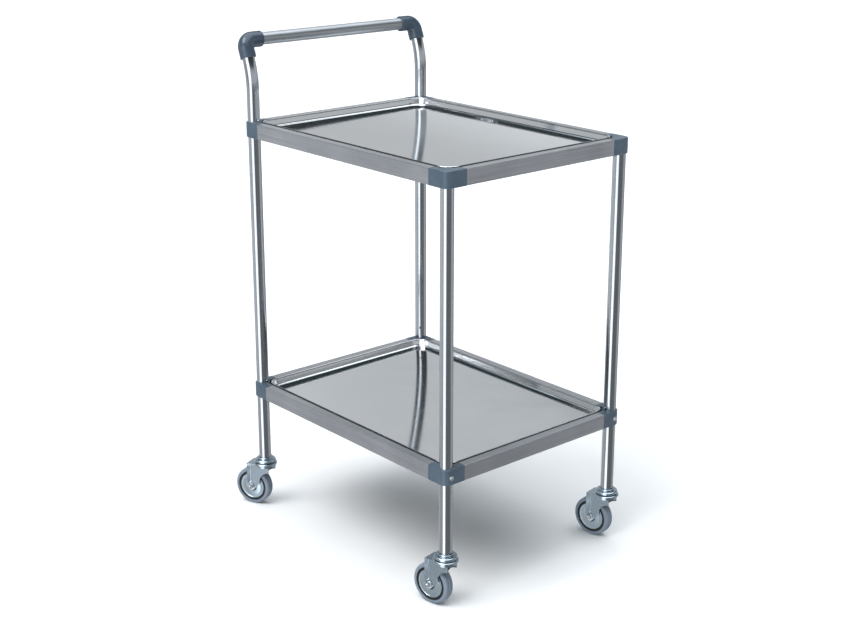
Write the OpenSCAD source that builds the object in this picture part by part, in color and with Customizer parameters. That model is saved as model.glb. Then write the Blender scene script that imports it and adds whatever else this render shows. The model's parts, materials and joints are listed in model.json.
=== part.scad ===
// Two-shelf service trolley with a push handle and four swivel casters.
// +X runs from the handle end to the front end, +Y to the left side, +Z up.
// The floor is z = 0, and the origin is under the middle of the whole trolley.

/* [Frame] */
// Distance between leg centres along the trolley
leg_span_x = 580; // [520:10:720]
// Distance between leg centres across the trolley
leg_span_y = 435; // [340:5:500]
// Height of the upper shelf's top face above the floor
top_shelf_z = 831; // [740:1:880]
// Height of the lower shelf's top face above the floor
low_shelf_z = 280; // [220:1:320]
// Outer diameter of the leg and handle tubes
tube_d = 25; // [24.5:0.1:25.5]
// Wall thickness of the tubes
tube_wall = 1.5; // [1:0.1:2]

/* [Shelves] */
// Width of a shelf rail, seen from above
rail_w = 18; // [16:0.5:20]
// Height of a shelf rail
rail_h = 30; // [28:0.5:34]
// Wall thickness of a shelf rail
rail_wall = 1.2; // [1:0.1:1.6]
// Reach of the ledge that carries the tray
ledge_reach = 11; // [8:0.5:14]
// Length of a connector arm, from the leg's centre
arm_len = 32; // [28:0.5:36]
// How far a connector stands proud of the rails
proud = 0.4; // [0.2:0.1:0.8]
// Depth of a tray, from the rail tops down to its floor
tray_depth = 13; // [10:0.5:16]
// Sheet thickness of a tray
tray_sheet = 1; // [0.8:0.1:1.2]
// Gap between a tray's rim and the rails
tray_gap = 1.8; // [1:0.1:2.5]
// Radius of a tray's corners at the rim
tray_corner_r = 28; // [25:0.5:34]

/* [Handle] */
// Height of the handle bar's centre above the upper shelf
handle_rise = 158; // [145:1:190]
// Lean of the legs' top ends, in degrees
handle_lean = 21; // [14:1:24]
// Bend radius of the legs below the handle
leg_bend_r = 175; // [160:5:200]
// Length of an elbow's leg arm, from its corner
elbow_leg_arm = 36; // [33:0.5:40]
// Length of an elbow's bar arm, from its corner
elbow_bar_arm = 38; // [35:0.5:44]
// Outer diameter of an elbow
elbow_d = 32; // [31:0.5:34]

/* [Casters] */
// Wheel diameter
wheel_d = 80; // [78:1:82]
// Wheel width over the tyre
tyre_w = 21; // [18:0.5:22]
// Distance the axle trails behind the swivel axis
caster_trail = 29; // [26:0.5:31]
// Swivel angle of the rear right caster at rest
swivel_rear_right = 24; // [0:1:30]
// Swivel angle of the front right caster at rest
swivel_front_right = 10; // [0:1:30]
// Swivel angle of the front left caster at rest
swivel_front_left = 9; // [0:1:30]

/* [Hidden] */
$fn = 64;

// The corners, each as [side along X, side along Y, caster swivel angle].
FRONT_RIGHT = [1, -1, swivel_front_right];
FRONT_LEFT = [1, 1, swivel_front_left];
REAR_RIGHT = [-1, -1, swivel_rear_right];
REAR_LEFT = [-1, 1, 0];
CORNERS = [FRONT_RIGHT, FRONT_LEFT, REAR_RIGHT, REAR_LEFT];

// Allowances: slack inside the fixed frame, and the running fit of a turning joint.
slack = 0.05;
run_fit = 0.05;
cut = 1;

// Tubes.
tube_r = tube_d / 2;
tube_in_r = tube_r - tube_wall;

// Shelf corners: the connector's faces lie on the tangent planes of its round boss.
boss_r = 15 + proud;
rail_out = 15;
corner_edge_r = 1.6;
rail_edge_r = 1;
spigot_len = 24;
blind_cap = 3;
screw_r = 2;
screw_drop = 17;
dowel_hole_r = 2.5;
dowel_hole_rise = 26;

// Trays.
wall_lean = 3;
bead_r = 1.5;
fillet_r = 3.5;
tray_half_x = leg_span_x / 2 - (rail_w - rail_out) - tray_gap;
tray_half_y = leg_span_y / 2 - (rail_w - rail_out) - tray_gap;
rim_reach = wall_lean + tray_sheet / 2 + bead_r;
ledge_t = 1.5;

// Handle: the leg has bent back by handle_lean at the elbow's mouth, and goes on bending
// through socket_angle inside it.
elbow_bend_r = elbow_d / 2 + 1;
handle_z = top_shelf_z + handle_rise;
leg_bend_z = handle_z - leg_bend_r * sin(handle_lean) - elbow_leg_arm * cos(handle_lean);
handle_back = leg_bend_r * (1 - cos(handle_lean)) + elbow_leg_arm * sin(handle_lean);
socket_angle = (elbow_leg_arm - elbow_bend_r) / leg_bend_r * 180 / PI;
socket_lead = 0.5;

// Caster heights above the floor, from the fork plate up to the leg's collar.
wheel_r = wheel_d / 2;
plate_z = wheel_r * 2 + 10;
plate_t = 3;
low_race_z = plate_z + plate_t;
low_race_h = 5.4;
low_race_r = 24.5;
top_race_z = low_race_z + low_race_h + 1;
top_race_h = 6.5;
top_race_r = 22;
collar_z = top_race_z + top_race_h;
collar_h = 4.5;
collar_r = 16;
leg_bottom_z = collar_z + 0.4;
plug_len = 40;
ball_r = 2;
ball_pitch_r = 16;
ball_count = 12;
kingpin_r = 5;
rivet_r = 7.5;
rivet_h = 2.4;

// Fork, axle and wheel.
fork_in = 13;
fork_t = 2.5;
fork_boss_r = 9;
fork_front = 15;
fork_skirt = 14;
fork_sweep_r = 26.5;
fork_sweep = [18, plate_z - 38];
axle_r = 4;
washer_r = 8;
washer_t = 1.2;
hex_r = 7.5;
hex_h = 5;
tyre_in_r = 33;
shoulder_r = 4;
hub_r = 11;
bush_r = 8;

// The fork's rear edge is level with the back of the axle boss.
fork_rear = -caster_trail - fork_boss_r;

// The trailing rear casters reach further than the front races do.
origin_shift = (caster_trail + wheel_r - low_race_r) / 2;

// ---------------------------------------------------------------- placing

module trolley() {
    translate([origin_shift, 0, 0]) children();
}

// Children are drawn for the front right corner and mirrored to the others.
module at_corner(corner) {
    trolley()
        translate([corner[0] * leg_span_x / 2, corner[1] * leg_span_y / 2, 0])
        mirror([corner[0] < 0 ? 1 : 0, 0, 0])
        mirror([0, corner[1] > 0 ? 1 : 0, 0])
        children();
}

// Caster pieces keep their hand, so they are only moved and turned.
module at_caster(corner) {
    trolley()
        translate([corner[0] * leg_span_x / 2, corner[1] * leg_span_y / 2, 0])
        rotate([0, 0, corner[2]])
        children();
}

// Wheel pieces are revolved about the axle, which lies along Y.
module on_axle(corner) {
    at_caster(corner)
        translate([-caster_trail, 0, wheel_r])
        rotate([-90, 0, 0])
        children();
}

// ---------------------------------------------------------------- outlines

module rounded_rect(w, h, r) {
    square([w - 2 * r, h], center = true);
    square([w, h - 2 * r], center = true);
    for (x = [-1, 1], y = [-1, 1])
        translate([x * (w / 2 - r), y * (h / 2 - r)]) circle(r = r);
}

// Half of a rounded block, to be revolved into a disc of radius r and height h.
module disc_profile(r, h, edge) {
    intersection() {
        rounded_rect(2 * r, h, edge);
        translate([0, -h]) square([r + cut, 2 * h]);
    }
}

// Point where the line from p touches the circle at c, on the given side.
function touch(p, c, r, side) =
    let (d = norm(p - c), a = atan2(p[1] - c[1], p[0] - c[0]) + side * acos(r / d))
    c + r * [cos(a), sin(a)];

// ---------------------------------------------------------------- legs

module tube(r, length) {
    difference() {
        cylinder(r = r, h = length);
        translate([0, 0, -cut]) cylinder(r = r - tube_wall, h = length + 2 * cut);
    }
}

// The cross screws of the lower connectors pass through one wall of the leg.
module screw_hole(r) {
    translate([0, 0, low_shelf_z - screw_drop])
        rotate([0, 90, 0])
        cylinder(r = r, h = boss_r + cut, $fn = 24);
}

module front_leg(corner) {
    color("gainsboro")
        at_corner(corner)
        difference() {
            translate([0, 0, leg_bottom_z])
                tube(tube_r, top_shelf_z + proud - blind_cap - leg_bottom_z);
            screw_hole(screw_r + slack);
        }
}

// The bent top of a rear leg or of its bore, from the bend's start through an angle.
module leg_bend(r, from_angle, angle) {
    translate([-leg_bend_r, 0, 0])
        rotate([90, 0, 0])
        rotate([0, 0, from_angle])
        rotate_extrude(angle = angle)
        translate([leg_bend_r, 0])
        circle(r = r);
}

// A rear leg is drawn without mirroring along X, so that it leans to -X.
module rear_leg(corner) {
    straight = leg_bend_z - leg_bottom_z;
    color("gainsboro")
        trolley()
        translate([-leg_span_x / 2, corner[1] * leg_span_y / 2, leg_bottom_z])
        difference() {
            union() {
                cylinder(r = tube_r, h = straight);
                translate([0, 0, straight]) leg_bend(tube_r, 0, handle_lean + socket_angle);
            }
            translate([0, 0, -cut]) cylinder(r = tube_in_r, h = straight + cut);
            translate([0, 0, straight]) leg_bend(tube_in_r, 0, handle_lean + socket_angle + 1);
            translate([0, 0, -leg_bottom_z]) mirror([1, 0, 0]) screw_hole(screw_r + slack);
            if (corner[1] > 0)
                translate([0, 0, low_shelf_z + dowel_hole_rise - leg_bottom_z])
                    rotate([0, 90, -45])
                    cylinder(r = dowel_hole_r, h = tube_r + cut, $fn = 24);
        }
}

// ---------------------------------------------------------------- handle

module at_handle(side) {
    trolley()
        translate([-leg_span_x / 2 - handle_back, side * leg_span_y / 2, handle_z])
        rotate([0, -handle_lean, 0])
        mirror([0, side > 0 ? 1 : 0, 0])
        children();
}

module handle_bar() {
    bar_half = leg_span_y / 2 - elbow_bend_r;
    color("silver")
        trolley()
        translate([-leg_span_x / 2 - handle_back, -bar_half, handle_z])
        rotate([-90, 0, 0])
        tube(tube_r, 2 * bar_half);
}

module elbow_arm(length) {
    translate([0, 0, elbow_bend_r - slack])
        cylinder(r = elbow_d / 2, h = length - elbow_bend_r - 1 + slack);
    translate([0, 0, length - 4])
        rotate_extrude()
        intersection() {
            rounded_rect(elbow_d, 8, 1);
            square([elbow_d, 8]);
        }
}

// Low moulded ribs on the elbow's inner side, below the handle bar.
module elbow_ribs() {
    for (i = [0 : 2])
        translate([0, 0, -elbow_leg_arm + 5 + 4 * i])
            rotate([0, 0, 50])
            rotate_extrude(angle = 80)
            translate([elbow_d / 2 - 0.5, 0])
            circle(r = 1, $fn = 24);
}

module handle_elbow(side) {
    color("slategray")
        at_handle(side)
        difference() {
            union() {
                translate([0, elbow_bend_r, -elbow_bend_r])
                    rotate([90, 0, 90])
                    rotate([0, 0, 90])
                    rotate_extrude(angle = 90)
                    translate([elbow_bend_r, 0])
                    circle(d = elbow_d);
                rotate([180, 0, 0]) elbow_arm(elbow_leg_arm);
                rotate([-90, 0, 0]) elbow_arm(elbow_bar_arm);
                elbow_ribs();
            }
            translate([0, 0, -elbow_leg_arm])
                leg_bend(tube_r + slack, -socket_lead, socket_angle + 2 * socket_lead);
            rotate([-90, 0, 0])
                translate([0, 0, elbow_bend_r])
                cylinder(r = tube_r + slack, h = elbow_bar_arm);
        }
}

// ---------------------------------------------------------------- shelf frames

// A rail lies along X with its outer face towards -Y, centred on x = 0.
module rail(length, shelf_z) {
    color("lightsteelblue") {
        translate([-length / 2, rail_w / 2 - rail_out, shelf_z - rail_h / 2])
            rotate([90, 0, 90])
            linear_extrude(length)
            difference() {
                rounded_rect(rail_w, rail_h, rail_edge_r);
                rounded_rect(rail_w - 2 * rail_wall, rail_h - 2 * rail_wall, rail_edge_r / 2);
            }
        translate([-length / 2, rail_w - rail_out - slack, shelf_z - tray_depth - tray_sheet - ledge_t])
            cube([length, ledge_reach + slack, ledge_t]);
    }
}

module side_rail(shelf_z, side) {
    trolley()
        rotate([0, 0, side > 0 ? 180 : 0])
        translate([0, -leg_span_y / 2, 0])
        rail(leg_span_x - 2 * arm_len, shelf_z);
}

module end_rail(shelf_z, side) {
    trolley()
        rotate([0, 0, side > 0 ? 90 : -90])
        translate([0, -leg_span_x / 2, 0])
        rail(leg_span_y - 2 * arm_len, shelf_z);
}

// One arm of a connector, along +X, with the spigot that fills the rail's end.
module connector_arm() {
    translate([0, rail_w / 2 - rail_out, 0]) rotate([90, 0, 90]) {
        linear_extrude(arm_len)
            rounded_rect(rail_w + 2 * proud, rail_h + 2 * proud, corner_edge_r);
        linear_extrude(arm_len + spigot_len)
            square(
                [rail_w - 2 * rail_wall - 2 * slack, rail_h - 2 * rail_wall - 2 * slack],
                center = true
            );
    }
}

// The leg stops under the cap of a blind connector, and passes through the others.
module shelf_corner(corner, shelf_z, blind, screwed) {
    half_h = rail_h / 2 + proud;
    color("slategray")
        at_corner(corner)
        difference() {
            translate([0, 0, shelf_z - rail_h / 2]) {
                rotate_extrude() disc_profile(boss_r, 2 * half_h, corner_edge_r);
                mirror([1, 0, 0]) connector_arm();
                rotate([0, 0, 90]) connector_arm();
            }
            translate([0, 0, shelf_z - rail_h - proud - cut])
                cylinder(
                    r = tube_r + slack,
                    h = blind ? 2 * half_h + cut - blind_cap : 2 * half_h + 2 * cut
                );
            if (screwed) screw_hole(screw_r + slack);
        }
}

// Pan head screws with a hexagon socket, one in each end of the lower shelf.
module corner_screws() {
    color("silver")
        for (corner = CORNERS)
            at_corner(corner)
            translate([tube_in_r - 0.5, 0, low_shelf_z - screw_drop])
            rotate([0, 90, 0])
            difference() {
                union() {
                    cylinder(r = screw_r, h = boss_r - tube_in_r + 0.5, $fn = 24);
                    translate([0, 0, boss_r - tube_in_r + 0.5])
                        rotate_extrude($fn = 32)
                        intersection() {
                            rounded_rect(7.4, 4.8, 1.6);
                            square([5, 3]);
                        }
                }
                translate([0, 0, boss_r - tube_in_r + 1.3]) cylinder(r = 1.5, h = 3, $fn = 6);
            }
}

// ---------------------------------------------------------------- trays

// Section of a tray's edge. x = 0 is the foot of the wall, z = 0 the floor's top.
module tray_edge_profile() {
    lean = atan(wall_lean / tray_depth);
    tangent = fillet_r * tan(45 - lean / 2);
    foot = tangent * [sin(lean), cos(lean)];
    polygon([
        [-fillet_r, -tray_sheet], [tray_sheet, -tray_sheet],
        [wall_lean + tray_sheet, tray_depth], [wall_lean, tray_depth],
        [0, 0], [-fillet_r, 0]
    ]);
    difference() {
        polygon([[slack, -slack], [-tangent, -slack], [-tangent, 0], foot]);
        translate([-tangent, fillet_r]) circle(r = fillet_r);
    }
    translate([wall_lean + tray_sheet / 2, tray_depth]) circle(r = bead_r, $fn = 32);
}

// Sweeps a section round a rectangle with rounded corners.
module around_rect(half_x, half_y, r) {
    for (x = [-1, 1], y = [-1, 1])
        translate([x * (half_x - r), y * (half_y - r), 0])
            rotate([0, 0, x * y > 0 ? 45 * (1 - x) * 2 : (x > 0 ? -90 : 90)])
            rotate_extrude(angle = 90)
            translate([r, 0])
            children();
    for (i = [0 : 3]) {
        reach = i % 2 == 0 ? half_x : half_y;
        along = (i % 2 == 0 ? half_y : half_x) - r;
        rotate([0, 0, 90 * i])
            translate([reach, along, 0])
            rotate([90, 0, 0])
            linear_extrude(2 * along)
            children();
    }
}

module tray(shelf_z) {
    foot_x = tray_half_x - rim_reach;
    foot_y = tray_half_y - rim_reach;
    foot_r = tray_corner_r - rim_reach;
    color("whitesmoke")
        trolley()
        translate([0, 0, shelf_z - tray_depth]) {
            around_rect(foot_x, foot_y, foot_r) tray_edge_profile();
            translate([0, 0, -tray_sheet])
                linear_extrude(tray_sheet)
                rounded_rect(2 * foot_x - fillet_r, 2 * foot_y - fillet_r, foot_r);
        }
}

// ---------------------------------------------------------------- casters

// Plug in the leg's end, and the kingpin that the fork turns on.
module caster_stems() {
    color("darkgray")
        for (corner = CORNERS)
            at_caster(corner) {
                translate([0, 0, collar_z]) cylinder(r = tube_in_r - slack, h = plug_len);
                translate([0, 0, plate_z - 1]) cylinder(r = kingpin_r, h = collar_z - plate_z + 2);
                translate([0, 0, plate_z - 0.4 - rivet_h / 2])
                    rotate_extrude()
                    disc_profile(rivet_r, rivet_h, 1);
            }
}

module ball_track(r) {
    rotate_extrude()
        translate([ball_pitch_r, (low_race_z + low_race_h + top_race_z) / 2])
        circle(r = r, $fn = 32);
}

module race(corner) {
    color("lightgray")
        at_caster(corner)
        difference() {
            union() {
                translate([0, 0, top_race_z + top_race_h / 2])
                    rotate_extrude()
                    disc_profile(top_race_r, top_race_h, 2.6);
                translate([0, 0, collar_z - 1 + (collar_h + 1) / 2])
                    rotate_extrude()
                    disc_profile(collar_r, collar_h + 1, 1);
            }
            ball_track(ball_r + 0.4);
            translate([0, 0, collar_z]) cylinder(r = tube_r + slack, h = collar_h + cut);
            translate([0, 0, top_race_z - cut]) cylinder(r = kingpin_r, h = top_race_h + 2 * cut);
        }
}

// Side plate of the fork in X and Z. The rear edge drops straight to the axle boss, and the
// front edge sweeps up to the top plate in an arc.
module fork_side_outline() {
    axle = [-caster_trail, wheel_r];
    front_knee = [fork_front, plate_z - fork_skirt];
    difference() {
        polygon([
            [fork_rear, plate_z + plate_t], [fork_front, plate_z + plate_t], front_knee,
            touch(front_knee, axle, fork_boss_r, -1), axle, [fork_rear, wheel_r]
        ]);
        translate(fork_sweep) circle(r = fork_sweep_r, $fn = 96);
    }
    translate(axle) circle(r = fork_boss_r);
}

module fork(corner) {
    color("silver")
        at_caster(corner)
        difference() {
            union() {
                translate([0, 0, plate_z]) cylinder(r = top_race_r, h = plate_t);
                translate([fork_rear, -fork_in - fork_t, plate_z])
                    cube([fork_front - fork_rear, 2 * (fork_in + fork_t), plate_t]);
                for (y = [fork_in + fork_t, -fork_in])
                    translate([0, y, 0])
                        rotate([90, 0, 0])
                        linear_extrude(fork_t)
                        fork_side_outline();
                translate([0, 0, low_race_z + low_race_h / 2 - slack])
                    rotate_extrude()
                    disc_profile(low_race_r, low_race_h + 2 * slack, 2.4);
            }
            ball_track(ball_r + slack);
            translate([0, 0, plate_z - cut])
                cylinder(r = kingpin_r + run_fit, h = plate_t + low_race_h + 3 * cut);
            translate([-caster_trail, fork_in + fork_t + cut, wheel_r])
                rotate([90, 0, 0])
                cylinder(r = axle_r + slack, h = 2 * (fork_in + fork_t + cut), $fn = 32);
        }
}

module balls(corner) {
    color("silver")
        at_caster(corner)
        for (i = [0 : ball_count - 1])
            rotate([0, 0, i * 360 / ball_count])
            translate([ball_pitch_r, 0, (low_race_z + low_race_h + top_race_z) / 2])
            sphere(r = ball_r, $fn = 24);
}

// Bolt with a hexagon head, two washers and a lock nut.
module axle(corner) {
    outer = fork_in + fork_t;
    color("silver")
        on_axle(corner) {
            translate([0, 0, -outer - hex_h - 3]) cylinder(r = axle_r, h = 2 * outer + hex_h + 4, $fn = 32);
            for (side = [-1, 1])
                translate([0, 0, side * (outer + washer_t / 2)])
                    difference() {
                        cylinder(r = washer_r, h = washer_t, center = true, $fn = 48);
                        cylinder(r = axle_r, h = 2 * washer_t, center = true, $fn = 32);
                    }
            translate([0, 0, outer + washer_t]) cylinder(r = hex_r, h = hex_h, $fn = 6);
            translate([0, 0, -outer - washer_t - hex_h])
                difference() {
                    cylinder(r = hex_r, h = hex_h, $fn = 6);
                    translate([0, 0, -cut]) cylinder(r = axle_r, h = hex_h + 2 * cut, $fn = 32);
                }
        }
}

module tyre(corner) {
    color("lightslategray")
        on_axle(corner)
        rotate_extrude($fn = 96)
        difference() {
            disc_profile(wheel_r, tyre_w, shoulder_r);
            translate([0, -tyre_w]) square([tyre_in_r, 2 * tyre_w]);
        }
}

// Plastic wheel centre: a hub, a web and the ring that the tyre sits on.
module rim(corner) {
    hub_half = fork_in - 1;
    color("black")
        on_axle(corner)
        rotate_extrude($fn = 96) {
            translate([bush_r, -hub_half]) square([hub_r - bush_r, 2 * hub_half]);
            translate([hub_r - slack, -3]) square([27.6 - hub_r, 6]);
            translate([27.5, -9.3]) square([tyre_in_r - 27.5, 18.6]);
        }
}

module bush(corner) {
    half = fork_in - 0.4;
    color("dimgray")
        on_axle(corner)
        difference() {
            cylinder(r = bush_r, h = 2 * half, center = true);
            cylinder(r = axle_r + run_fit, h = 4 * half, center = true);
        }
}

// Pressed sheet guards, one on each side of the wheel, with a lip and a stepped dish.
module guards(corner) {
    color("silver")
        on_axle(corner)
        for (side = [0, 1])
            mirror([0, 0, side])
            rotate_extrude($fn = 96)
            polygon([
                [27.4, 7.4], [27.4, 10], [26.3, 10], [25.8, 9.4], [22.5, 9.4], [21.4, 10.8],
                [14, 11.6], [hub_r + 0.2, 11.6], [hub_r + 0.2, 10.6], [14, 10.6],
                [20.8, 9.8], [21.9, 8.4], [26.4, 8.4], [26.4, 7.4]
            ]);
}

// ---------------------------------------------------------------- nodes

front_leg(FRONT_RIGHT);  // front_leg_right
front_leg(FRONT_LEFT);  // front_leg_left
rear_leg(REAR_RIGHT);  // rear_leg_right
rear_leg(REAR_LEFT);  // rear_leg_left
handle_bar();
handle_elbow(-1);  // handle_elbow_right
handle_elbow(1);  // handle_elbow_left
side_rail(top_shelf_z, -1);  // top_rail_right
side_rail(top_shelf_z, 1);  // top_rail_left
end_rail(top_shelf_z, 1);  // top_rail_front
end_rail(top_shelf_z, -1);  // top_rail_rear
side_rail(low_shelf_z, -1);  // low_rail_right
side_rail(low_shelf_z, 1);  // low_rail_left
end_rail(low_shelf_z, 1);  // low_rail_front
end_rail(low_shelf_z, -1);  // low_rail_rear
shelf_corner(FRONT_RIGHT, top_shelf_z, true, false);  // top_corner_front_right
shelf_corner(FRONT_LEFT, top_shelf_z, true, false);  // top_corner_front_left
shelf_corner(REAR_RIGHT, top_shelf_z, false, false);  // top_corner_rear_right
shelf_corner(REAR_LEFT, top_shelf_z, false, false);  // top_corner_rear_left
shelf_corner(FRONT_RIGHT, low_shelf_z, false, true);  // low_corner_front_right
shelf_corner(FRONT_LEFT, low_shelf_z, false, true);  // low_corner_front_left
shelf_corner(REAR_RIGHT, low_shelf_z, false, true);  // low_corner_rear_right
shelf_corner(REAR_LEFT, low_shelf_z, false, true);  // low_corner_rear_left
corner_screws();
caster_stems();
tray(top_shelf_z);  // top_tray
tray(low_shelf_z);  // low_tray
race(FRONT_RIGHT);  // race_front_right
race(FRONT_LEFT);  // race_front_left
race(REAR_RIGHT);  // race_rear_right
race(REAR_LEFT);  // race_rear_left
fork(FRONT_RIGHT);  // fork_front_right
fork(FRONT_LEFT);  // fork_front_left
fork(REAR_RIGHT);  // fork_rear_right
fork(REAR_LEFT);  // fork_rear_left
axle(FRONT_RIGHT);  // axle_front_right
axle(FRONT_LEFT);  // axle_front_left
axle(REAR_RIGHT);  // axle_rear_right
axle(REAR_LEFT);  // axle_rear_left
balls(FRONT_RIGHT);  // balls_front_right
balls(FRONT_LEFT);  // balls_front_left
balls(REAR_RIGHT);  // balls_rear_right
balls(REAR_LEFT);  // balls_rear_left
tyre(FRONT_RIGHT);  // tyre_front_right
tyre(FRONT_LEFT);  // tyre_front_left
tyre(REAR_RIGHT);  // tyre_rear_right
tyre(REAR_LEFT);  // tyre_rear_left
rim(FRONT_RIGHT);  // rim_front_right
rim(FRONT_LEFT);  // rim_front_left
rim(REAR_RIGHT);  // rim_rear_right
rim(REAR_LEFT);  // rim_rear_left
bush(FRONT_RIGHT);  // bush_front_right
bush(FRONT_LEFT);  // bush_front_left
bush(REAR_RIGHT);  // bush_rear_right
bush(REAR_LEFT);  // bush_rear_left
guards(FRONT_RIGHT);  // guards_front_right
guards(FRONT_LEFT);  // guards_front_left
guards(REAR_RIGHT);  // guards_rear_right
guards(REAR_LEFT);  // guards_rear_left
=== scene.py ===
# Two-shelf service trolley: materials, fine detail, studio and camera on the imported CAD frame.
# Metres, in the row frame: +X is the front end, +Y the left side, +Z up, the floor at z = 0.
import json
import math

import bmesh
import bpy
from mathutils import Matrix, Vector


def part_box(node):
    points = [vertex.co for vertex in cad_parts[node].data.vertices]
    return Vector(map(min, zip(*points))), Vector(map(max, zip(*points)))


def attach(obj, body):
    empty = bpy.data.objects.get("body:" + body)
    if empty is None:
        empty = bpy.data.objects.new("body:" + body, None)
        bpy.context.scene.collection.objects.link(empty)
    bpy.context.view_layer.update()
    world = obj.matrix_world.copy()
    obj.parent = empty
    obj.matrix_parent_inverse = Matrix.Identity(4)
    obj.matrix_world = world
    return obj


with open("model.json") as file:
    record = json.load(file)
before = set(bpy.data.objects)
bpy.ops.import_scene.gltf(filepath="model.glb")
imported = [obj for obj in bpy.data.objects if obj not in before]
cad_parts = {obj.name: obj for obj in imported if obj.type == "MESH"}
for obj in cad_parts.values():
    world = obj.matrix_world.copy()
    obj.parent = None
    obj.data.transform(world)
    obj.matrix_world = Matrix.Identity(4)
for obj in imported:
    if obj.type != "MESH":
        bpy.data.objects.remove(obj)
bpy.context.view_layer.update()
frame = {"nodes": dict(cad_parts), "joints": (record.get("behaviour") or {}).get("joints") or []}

nodes = frame["nodes"]
CORNERS = ("front_right", "front_left", "rear_right", "rear_left")


# ---------------------------------------------------------------- Camera
camera_data = bpy.data.cameras.new("camera")
camera_data.sensor_width = 36
camera_data.lens = 62.5
camera_data.shift_y = -0.047
camera_data.clip_end = 60
camera = bpy.data.objects.new("camera", camera_data)
camera.location = (2.160, -1.854, 1.384)
camera.rotation_euler = (math.radians(90 - 16.88), 0, math.radians(49.29))
bpy.context.scene.collection.objects.link(camera)
bpy.context.scene.camera = camera


# ---------------------------------------------------------------- Node helpers
def node_of(tree, kind, inputs=(), **settings):
    """A new shader node. inputs gives a plain value or an output for each named or numbered input."""
    made = tree.nodes.new(kind)
    for key, value in settings.items():
        setattr(made, key, value)
    for key, value in dict(inputs).items():
        if isinstance(value, bpy.types.NodeSocket):
            tree.links.new(value, made.inputs[key])
        else:
            made.inputs[key].default_value = value
    return made


def maths(tree, operation, first, second=0.0):
    """The output of one Math node."""
    return node_of(tree, "ShaderNodeMath", {0: first, 1: second}, operation=operation).outputs[0]


def spread(tree, value, low_in, high_in, low_out, high_out, smooth=False):
    """value carried from one range to another, and held inside it."""
    kind = "SMOOTHSTEP" if smooth else "LINEAR"
    ranges = {"Value": value, "From Min": low_in, "From Max": high_in, "To Min": low_out, "To Max": high_out}
    return node_of(tree, "ShaderNodeMapRange", ranges, interpolation_type=kind).outputs["Result"]


def grain(tree, stretch, detail=3.0, roughness=0.55):
    """Noise in the object's own space. stretch is how many waves fit in a metre along X, Y and Z."""
    place = node_of(tree, "ShaderNodeTexCoord").outputs["Object"]
    scaled = node_of(tree, "ShaderNodeMapping", {"Vector": place, "Scale": stretch}).outputs["Vector"]
    inputs = {"Vector": scaled, "Scale": 1.0, "Detail": detail, "Roughness": roughness}
    return node_of(tree, "ShaderNodeTexNoise", inputs).outputs["Fac"]


def blend_colours(tree, factor, first, second):
    """A colour between first and second."""
    mix = node_of(tree, "ShaderNodeMix", data_type="RGBA")
    for socket, value in zip((mix.inputs[0], mix.inputs[6], mix.inputs[7]), (factor, first, second)):
        if isinstance(value, bpy.types.NodeSocket):
            tree.links.new(value, socket)
        else:
            socket.default_value = (*value, 1.0) if isinstance(value, tuple) else value
    return mix.outputs[2]


def dot(tree, first, second):
    """The dot product of two vectors."""
    inputs = {0: first, 1: second}
    return node_of(tree, "ShaderNodeVectorMath", inputs, operation="DOT_PRODUCT").outputs["Value"]


# Cosines of the turn of the normal at which an edge starts to show, and at which it is full.
EDGE_STARTS = 0.995
EDGE_FULL = 0.86


def edges(tree, radius):
    """1 along sharp edges and 0 on open faces, from how much a rounded normal turns from the true one."""
    rounded = node_of(tree, "ShaderNodeBevel", {"Radius": radius}, samples=6).outputs[0]
    true = node_of(tree, "ShaderNodeNewGeometry").outputs["Normal"]
    turned = dot(tree, rounded, true)
    return spread(tree, turned, EDGE_STARTS, EDGE_FULL, 0.0, 1.0)


def surface(name, metallic=0.0, ior=1.5):
    """A new material and its Principled shader, with the values that are the same all over it."""
    made = bpy.data.materials.new(name)
    made.use_nodes = True
    shader = made.node_tree.nodes["Principled BSDF"]
    shader.inputs["Metallic"].default_value = metallic
    shader.inputs["IOR"].default_value = ior
    return made, shader


# Radius that softens every sharp edge in the shading, in metres.
EASED_EDGE = 0.0006


def finish_surface(made, shader, colour, roughness, height, depth, strength=1.0):
    """Links a material's colour, roughness and bump. depth is the height of the bump in metres."""
    tree = made.node_tree
    tree.links.new(colour, shader.inputs["Base Color"])
    tree.links.new(roughness, shader.inputs["Roughness"])
    eased = node_of(tree, "ShaderNodeBevel", {"Radius": EASED_EDGE}, samples=6).outputs[0]
    inputs = {"Height": height, "Distance": depth, "Strength": strength, "Normal": eased}
    bump = node_of(tree, "ShaderNodeBump", inputs)
    tree.links.new(bump.outputs["Normal"], shader.inputs["Normal"])
    return made


# The range of a mixed noise that is spread over a steel's tones, and over a moulding's.
STEEL_TONES = (0.3, 0.7)
MOULDED_TONES = (0.34, 0.66)
# Half the width over which a tray's floor dips.
SAG_REACH = 0.20


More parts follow.
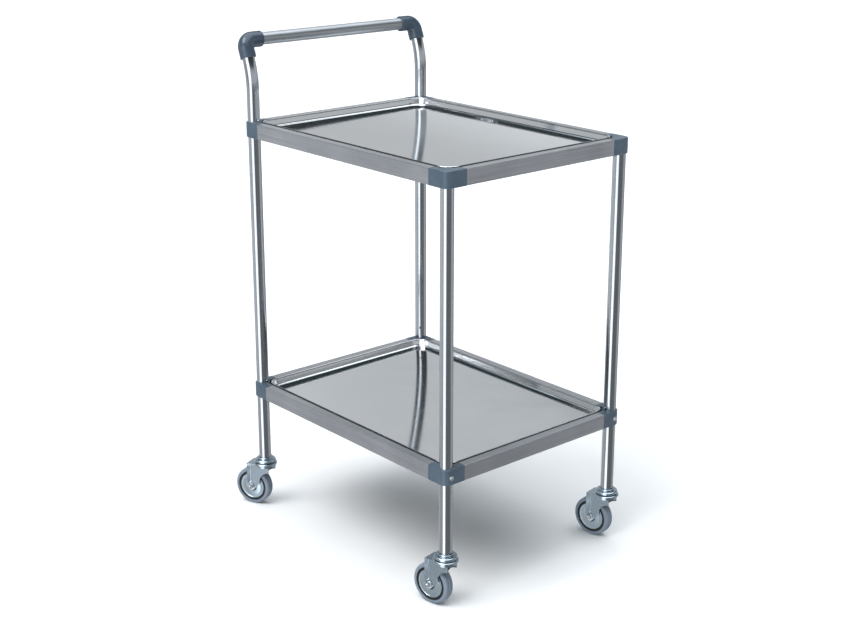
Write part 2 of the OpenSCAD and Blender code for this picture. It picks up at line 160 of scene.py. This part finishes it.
def steel(name, lines, dark, light, rough_low, rough_high, depth, sag=0.0):
    """Bare steel.

    lines is the stretch of its polishing or brushing lines. sag is how far a sheet dips, in metres."""
    made, shader = surface(name, metallic=1.0)
    tree = made.node_tree
    fine = grain(tree, lines, detail=4.0, roughness=0.7)
    smear = grain(tree, (9.0, 9.0, 9.0), detail=5.0, roughness=0.6)
    worn = edges(tree, 0.0012)
    tone = maths(tree, "ADD", maths(tree, "MULTIPLY", fine, 0.6), maths(tree, "MULTIPLY", smear, 0.4))
    colour = blend_colours(tree, spread(tree, tone, *STEEL_TONES, 0.0, 1.0), dark, light)
    colour = blend_colours(tree, maths(tree, "MULTIPLY", worn, 0.5), colour, (0.82, 0.84, 0.86))
    rough = spread(tree, tone, *STEEL_TONES, rough_high, rough_low)
    height = fine
    if sag:
        place = node_of(tree, "ShaderNodeTexCoord").outputs["Object"]
        across = node_of(tree, "ShaderNodeSeparateXYZ", {0: place}).outputs[1]
        bowl = maths(tree, "POWER", maths(tree, "MULTIPLY", across, 1.0 / SAG_REACH), 2.0)
        height = maths(tree, "ADD", maths(tree, "MULTIPLY", bowl, sag / depth), fine)
    return finish_surface(made, shader, colour, rough, height, depth)


# How far a relief sinks before its painted groove shade is full, in metres, how much painted shade covers it,
# and the shade's colour.
GROOVE_SHADE_FULL = -0.001
GROOVE_SHADE_COVER = 0.75
GROOVE_SHADE_COLOUR = (0.04, 0.05, 0.065)


def moulded(name, dark, light, rough_low, rough_high, depth, worn_colour, texture=2600.0, relief=None):
    """A moulded plastic or rubber, with an eroded mould texture, cloudy tone and rubbed edges.

    relief makes a further height from the tree, in metres. What it sinks is also painted darker, as painted
    shade in the grooves."""
    made, shader = surface(name, ior=1.48)
    tree = made.node_tree
    fine = grain(tree, (texture, texture, texture), detail=2.0)
    cloud = grain(tree, (22.0, 22.0, 22.0), detail=5.0, roughness=0.65)
    speck = grain(tree, (420.0, 420.0, 420.0), detail=3.0)
    tone = maths(tree, "ADD", maths(tree, "MULTIPLY", cloud, 0.65), maths(tree, "MULTIPLY", speck, 0.35))
    colour = blend_colours(tree, spread(tree, tone, *MOULDED_TONES, 0.0, 1.0), dark, light)
    rubbed = maths(tree, "MULTIPLY", edges(tree, 0.0016), 0.45)
    colour = blend_colours(tree, rubbed, colour, worn_colour)
    rough = spread(tree, tone, *MOULDED_TONES, rough_high, rough_low)
    height = fine
    if relief:
        sunk = relief(tree)
        # Painted shade: the sunk relief darkens the colour, standing in for the shade inside the tread
        # grooves.
        colour = blend_colours(tree, spread(tree, sunk, 0.0, GROOVE_SHADE_FULL, 0.0, GROOVE_SHADE_COVER), colour, GROOVE_SHADE_COLOUR)
        height = maths(tree, "ADD", maths(tree, "MULTIPLY", sunk, 1.0 / depth), fine)
    return finish_surface(made, shader, colour, rough, height, depth, 0.8)


# ---------------------------------------------------------------- Materials
# Waves in a metre: across the fine polishing rings, across the brushing lines, and along either.
RINGS = 1800.0
BRUSHING = 520.0
ALONG = 12.0
BRUSH_ALONG = 3.0

leg_steel = steel(
    "leg_steel", (ALONG, ALONG, RINGS), (0.50, 0.53, 0.57), (0.66, 0.69, 0.73), 0.10, 0.20, 0.000004
)
handle_steel = steel(
    "handle_steel", (BRUSHING, BRUSH_ALONG, BRUSHING), (0.42, 0.44, 0.47), (0.58, 0.60, 0.63), 0.34, 0.46,
    0.00001
)
rail_steel_x = steel(
    "rail_steel_x", (BRUSH_ALONG, BRUSHING, BRUSHING), (0.42, 0.43, 0.46), (0.68, 0.69, 0.73), 0.24, 0.40,
    0.00002
)
rail_steel_y = steel(
    "rail_steel_y", (BRUSHING, BRUSH_ALONG, BRUSHING), (0.42, 0.43, 0.46), (0.68, 0.69, 0.73), 0.24, 0.40,
    0.00002
)
tray_steel = steel(
    "tray_steel", (ALONG, RINGS, RINGS), (0.70, 0.71, 0.73), (0.80, 0.81, 0.82), 0.05, 0.12, 0.000004, 0.005
)
screw_steel = steel(
    "screw_steel", (700.0, 700.0, 700.0), (0.56, 0.58, 0.60), (0.80, 0.82, 0.84), 0.12, 0.24, 0.00001
)
zinc_steel = steel(
    "zinc_steel", (160.0, 160.0, 160.0), (0.43, 0.52, 0.60), (0.61, 0.71, 0.78), 0.15, 0.30, 0.00001
)
guard_steel = steel(
    "guard_steel", (120.0, 120.0, 120.0), (0.48, 0.58, 0.66), (0.62, 0.73, 0.80), 0.22, 0.36, 0.000008
)
connector_plastic = moulded(
    "connector_plastic", (0.050, 0.076, 0.106), (0.078, 0.112, 0.150), 0.26, 0.40, 0.00004, (0.20, 0.26, 0.33)
)
elbow_plastic = moulded(
    "elbow_plastic", (0.040, 0.058, 0.084), (0.062, 0.085, 0.118), 0.14, 0.26, 0.00002, (0.16, 0.21, 0.27)
)
black_plastic = moulded(
    "black_plastic", (0.004, 0.005, 0.006), (0.010, 0.011, 0.012), 0.40, 0.58, 0.00005, (0.026, 0.028, 0.030)
)
bush_plastic = moulded(
    "bush_plastic", (0.34, 0.35, 0.34), (0.44, 0.45, 0.44), 0.34, 0.50, 0.00003, (0.55, 0.55, 0.54)
)


# Grooves round a tyre's tread: distance from its middle, half width and depth, and the tread's inner radius.
GROOVE_AT = 0.0034
GROOVE_HALF = 0.0009
GROOVE_DEPTH = 0.0012
TREAD_FROM = 0.0385


def grooved_tread(joint):
    """The height of two fine grooves round a tyre's tread, from the wheel's centre and axle direction."""
    centre, axle = joint["pos_m"], joint["axis"]

    def relief(tree):
        place = node_of(tree, "ShaderNodeTexCoord").outputs["Object"]
        arm = node_of(tree, "ShaderNodeVectorMath", {0: place, 1: centre}, operation="SUBTRACT").outputs[0]
        along = maths(tree, "ABSOLUTE", dot(tree, arm, axle))
        reach = node_of(tree, "ShaderNodeVectorMath", {0: arm}, operation="LENGTH").outputs["Value"]
        off_groove = maths(tree, "ABSOLUTE", maths(tree, "SUBTRACT", along, GROOVE_AT))
        groove = spread(tree, off_groove, GROOVE_HALF, 0.0, 0.0, -GROOVE_DEPTH, smooth=True)
        return maths(tree, "MULTIPLY", groove, spread(tree, reach, TREAD_FROM, TREAD_FROM + 0.001, 0.0, 1.0))

    return relief


joints = {joint["name"]: joint for joint in frame["joints"]}
for corner in CORNERS:
    rubber = moulded(
        "grey_rubber_" + corner, (0.158, 0.196, 0.250), (0.224, 0.268, 0.328), 0.50, 0.70, 0.00008,
        (0.30, 0.34, 0.40), 1500.0, grooved_tread(joints["roll_" + corner])
    )
    for holder in nodes["tyre_" + corner].material_slots:
        holder.material = rubber

FINISHES = (
    (("front_leg", "rear_leg"), leg_steel),
    (("handle_bar",), handle_steel),
    (("handle_elbow",), elbow_plastic),
    (("top_corner", "low_corner"), connector_plastic),
    (("top_rail_right", "top_rail_left", "low_rail_right", "low_rail_left"), rail_steel_x),
    (("top_rail_front", "top_rail_rear", "low_rail_front", "low_rail_rear"), rail_steel_y),
    (("top_tray", "low_tray"), tray_steel),
    (("corner_screws", "axle", "balls"), screw_steel),
    (("caster_stems", "race", "fork"), zinc_steel),
    (("guards",), guard_steel),
    (("rim",), black_plastic),
    (("bush",), bush_plastic),
)
for starts, finish in FINISHES:
    for name, node in nodes.items():
        if name.startswith(starts):
            for holder in node.material_slots:
                holder.material = finish


# ---------------------------------------------------------------- Extra pieces
def piece(name, sheet, body, finish):
    """A new piece from a bmesh, smooth up to its sharper edges, that rides on a body."""
    bmesh.ops.recalc_face_normals(sheet, faces=sheet.faces)
    mesh = bpy.data.meshes.new(name)
    sheet.to_mesh(mesh)
    sheet.free()
    for face in mesh.polygons:
        face.use_smooth = True
    mesh.set_sharp_from_angle(angle=math.radians(35))
    mesh.materials.append(finish)
    made = bpy.data.objects.new(name, mesh)
    bpy.context.scene.collection.objects.link(made)
    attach(made, body)


def bridge(sheet, loops, closed):
    """Faces between neighbouring loops of the same length. closed joins the last loop to the first."""
    count = len(loops[0])
    followers = loops[1:] + [loops[0]] if closed else loops[1:]
    for first, second in zip(loops, followers):
        for i in range(count):
            sheet.faces.new((first[i], first[(i + 1) % count], second[(i + 1) % count], second[i]))


def round_rectangle(low, high, radius, steps):
    """Points round a rectangle with round corners, each with its outward direction."""
    path = []
    for quarter, (side_x, side_y) in enumerate(((1, 1), (-1, 1), (-1, -1), (1, -1))):
        centre_x = (high.x if side_x > 0 else low.x) - side_x * radius
        centre_y = (high.y if side_y > 0 else low.y) - side_y * radius
        for step in range(steps + 1):
            turn = math.radians(90 * (quarter + step / steps))
            out = Vector((math.cos(turn), math.sin(turn), 0.0))
            path.append((Vector((centre_x, centre_y, 0.0)) + out * radius, out))
    return path


# Black strip of painted shadow below a tray's rolled rim, standing in for the shade in the gap to the rails:
# points outward from the rim, and down from its top.
GAP_SHADOW_PROFILE = (
    (-0.0002, -0.0045), (0.0012, -0.0045), (0.0015, -0.0041),
    (0.0015, -0.0012), (0.0011, -0.0008), (-0.0002, -0.0008),
)
RIM_CORNER_R = 0.029


def rim_gap_shadow(tray):
    """A black strip of painted shadow that fills the gap between a tray's rim and the rails, where only shade
    falls.
    """
    low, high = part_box(tray)
    sheet = bmesh.new()
    loops = []
    for place, out in round_rectangle(low, high, RIM_CORNER_R, 10):
        loops.append([sheet.verts.new(place + out * x + Vector((0.0, 0.0, high.z + z))) for x, z in GAP_SHADOW_PROFILE])
    bridge(sheet, loops, closed=True)
    # The piece is painted shadow, made in black plastic.
    piece(tray + "_gap_shadow", sheet, tray, black_plastic)


def turned(sheet, profile, centre, axis, steps=40):
    """Adds a ring to sheet. profile is its (radius, distance along axis) outline, turned about axis."""
    axis = Vector(axis).normalized()
    across = axis.orthogonal().normalized()
    loops = []
    for step in range(steps):
        arm = Matrix.Rotation(math.tau * step / steps, 3, axis) @ across
        loops.append([sheet.verts.new(Vector(centre) + arm * r + axis * z) for r, z in profile])
    bridge(sheet, loops, closed=True)


# Cup washer under a screw's head: radius, and distance out from the connector's face.
CUP = ((0.0036, 0.0), (0.0051, 0.0), (0.0052, 0.0004), (0.0046, 0.0010), (0.0040, 0.0013), (0.0036, 0.0009))


def cup_washers():
    """A bright cup washer round each screw of the lower connectors."""
    screws_low, screws_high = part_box("corner_screws")
    sheet = bmesh.new()
    for corner in CORNERS:
        side = 1.0 if corner.startswith("front") else -1.0
        low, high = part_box("low_corner_" + corner)
        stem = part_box("race_" + corner)
        face = high.x if side > 0 else low.x
        centre = (face, (stem[0].y + stem[1].y) / 2, (screws_low.z + screws_high.z) / 2)
        turned(sheet, CUP, centre, (side, 0.0, 0.0))
    piece("cup_washers", sheet, "frame", screw_steel)


# Pressed stiffener along the back of a fork's side plate: distance back from the swivel axis, and height.
STIFFENER = (
    (0.0372, 0.0905), (0.0372, 0.0535), (0.0350, 0.0500), (0.0300, 0.0492),
    (0.0270, 0.0520), (0.0262, 0.0580), (0.0262, 0.0870), (0.0275, 0.0905),
)
STIFFENER_EDGE = 0.0006
# Distance from the wheel's middle plane to the outside of a side plate.
FORK_OUTER = 0.0155
# A stiffener's loops from foot to face: share of the edge inset, and distance out from the side plate.
STIFFENER_LOOPS = ((0.0, -0.0002), (0.0, 0.0004), (0.3, 0.0007), (1.0, 0.0009))


def fork_stiffeners(corner):
    """The raised, round-edged pressing on both side plates of a fork."""
    swivel, roll = joints["swivel_" + corner], joints["roll_" + corner]
    pivot = Vector((swivel["pos_m"][0], swivel["pos_m"][1], 0.0))
    hub = Vector((roll["pos_m"][0], roll["pos_m"][1], 0.0))
    back = (hub - pivot).normalized()
    axle = Vector(roll["axis"]).normalized()
    middle = Vector((sum(u for u, z in STIFFENER), sum(z for u, z in STIFFENER))) / len(STIFFENER)
    sheet = bmesh.new()
    for side in (-1.0, 1.0):
        loops = []
        for inset, out in STIFFENER_LOOPS:
            loop = []
            for u, z in STIFFENER:
                pull = (middle - Vector((u, z))).normalized() * (inset * STIFFENER_EDGE)
                place = pivot + back * (u + pull.x) + axle * side * (FORK_OUTER + out)
                loop.append(sheet.verts.new(place + Vector((0.0, 0.0, z + pull.y))))
            loops.append(loop)
        bridge(sheet, loops, closed=False)
        sheet.faces.new(loops[0])
        sheet.faces.new(loops[-1])
    piece("fork_stiffeners_" + corner, sheet, "fork_" + corner, zinc_steel)


# Painted shadow strips in the rim gaps of both trays.
for tray in ("top_tray", "low_tray"):
    rim_gap_shadow(tray)
cup_washers()
for corner in CORNERS:
    fork_stiffeners(corner)


# ---------------------------------------------------------------- Floor
def floor_disc(radius, rings, spokes):
    """A flat round floor, finer towards the middle."""
    sheet = bmesh.new()
    middle = sheet.verts.new((0.0, 0.0, 0.0))
    inner = []
    for ring in range(1, rings + 1):
        reach = radius * (ring / rings) ** 2
        row = []
        for spoke in range(spokes):
            turn = math.tau * spoke / spokes
            row.append(sheet.verts.new((reach * math.cos(turn), reach * math.sin(turn), 0.0)))
        for spoke in range(spokes):
            following = (spoke + 1) % spokes
            if inner:
                sheet.faces.new((inner[spoke], row[spoke], row[following], inner[following]))
            else:
                sheet.faces.new((middle, row[spoke], row[following]))
        inner = row
    mesh = bpy.data.meshes.new("floor")
    sheet.to_mesh(mesh)
    sheet.free()
    made = bpy.data.objects.new("floor", mesh)
    bpy.context.scene.collection.objects.link(made)
    return made


def floor_paint():
    """Pale matt studio paint with a faint roller texture."""
    made, shader = surface("floor_paint")
    tree = made.node_tree
    cloud = grain(tree, (1.3, 1.3, 1.3), detail=4.0)
    colour = blend_colours(tree, cloud, (0.86, 0.86, 0.865), (0.90, 0.90, 0.90))
    rough = spread(tree, cloud, 0.3, 0.7, 0.80, 0.90)
    return finish_surface(made, shader, colour, rough, grain(tree, (900.0, 900.0, 900.0)), 0.00002, 0.4)


floor = floor_disc(30.0, 24, 96)
floor.data.materials.append(floor_paint())
floor.visible_glossy = False


# ---------------------------------------------------------------- Studio light
# Each soft area of the studio: bearing and half width in degrees, lowest and highest height on the unit
# sphere, and how bright it is.
SOFT_AREAS = (
    (-72.0, 17.0, -0.90, 0.55, 1.9),
    (-150.0, 50.0, -0.95, -0.10, 0.27),
    (72.0, 24.0, -0.95, -0.10, 0.26),
    (150.0, 35.0, -0.95, -0.10, 0.20),
    (139.0, 46.0, 0.24, 0.47, 0.56),
    (-139.0, 34.0, -0.36, -0.16, 0.24),
    (44.0, 16.0, -0.36, -0.16, 0.20),
)
# How bright the studio is at each height on the unit sphere, all the way round.
LEVELS = (
    (-1.0, 0.18), (-0.09, 0.18), (0.0, 0.58), (0.20, 0.58),
    (0.34, 0.06), (0.68, 0.06), (0.82, 2.4), (1.0, 2.4),
)
# A soft area's fade: how far past its half width it ends, where it starts to fade, and its fade in height.
OUTER_FADE = 1.6
INNER_FADE = 0.4
HEIGHT_FADE = 0.06
PALE = (0.93, 0.97, 1.0)
TEAL = (0.62, 0.88, 1.0)


def studio():
    """A soft studio all round: a light overhead, a pale horizon, dim teal walls, and a few soft areas."""
    world = bpy.data.worlds.new("studio")
    world.use_nodes = True
    tree = world.node_tree
    backing = tree.nodes["Background"]
    direction = node_of(tree, "ShaderNodeTexCoord").outputs["Generated"]
    parts = node_of(tree, "ShaderNodeSeparateXYZ", {0: direction}).outputs
    flat = node_of(tree, "ShaderNodeCombineXYZ", {0: parts[0], 1: parts[1]}).outputs[0]
    flat = node_of(tree, "ShaderNodeVectorMath", {0: flat}, operation="NORMALIZE").outputs[0]
    height = parts[2]
    total = maths(tree, "ADD", LEVELS[0][1], 0.0)
    for (low, before), (high, after) in zip(LEVELS, LEVELS[1:]):
        if after != before:
            change = spread(tree, height, low, high, 0.0, after - before, smooth=True)
            total = maths(tree, "ADD", total, change)
    for bearing, half_width, low, high, strength in SOFT_AREAS:
        turn = math.radians(bearing)
        aim = (math.cos(turn), math.sin(turn), 0.0)
        near = dot(tree, flat, aim)
        outer = math.cos(math.radians(half_width * OUTER_FADE))
        inner = math.cos(math.radians(half_width * INNER_FADE))
        across = spread(tree, near, outer, inner, 0.0, strength, smooth=True)
        rising = spread(tree, height, low - HEIGHT_FADE, low + HEIGHT_FADE, 0.0, 1.0, smooth=True)
        falling = spread(tree, height, high + HEIGHT_FADE, high - HEIGHT_FADE, 0.0, 1.0, smooth=True)
        lit = maths(tree, "MULTIPLY", across, maths(tree, "MULTIPLY", rising, falling))
        total = maths(tree, "ADD", total, lit)
    dim = maths(
        tree,
        "MULTIPLY",
        spread(tree, height, 0.44, 0.54, 0.0, 1.0, smooth=True),
        spread(tree, height, 0.80, 0.66, 0.0, 1.0, smooth=True),
    )
    tree.links.new(total, backing.inputs["Strength"])
    tree.links.new(blend_colours(tree, dim, PALE, TEAL), backing.inputs["Color"])
    bpy.context.scene.world = world


studio()


def sky_light(name, bearing, elevation, angle, strength):
    """A broad, far soft light."""
    data = bpy.data.lights.new(name, "SUN")
    data.angle = math.radians(angle)
    data.energy = strength
    made = bpy.data.objects.new(name, data)
    turn, lift = math.radians(bearing), math.radians(elevation)
    towards = Vector((math.cos(turn) * math.cos(lift), math.sin(turn) * math.cos(lift), math.sin(lift)))
    made.rotation_euler = towards.to_track_quat("Z", "Y").to_euler()
    bpy.context.scene.collection.objects.link(made)


sky_light("key_light", -95.0, 58.0, 35.0, 1.6)

bpy.context.scene.view_settings.view_transform = "Standard"
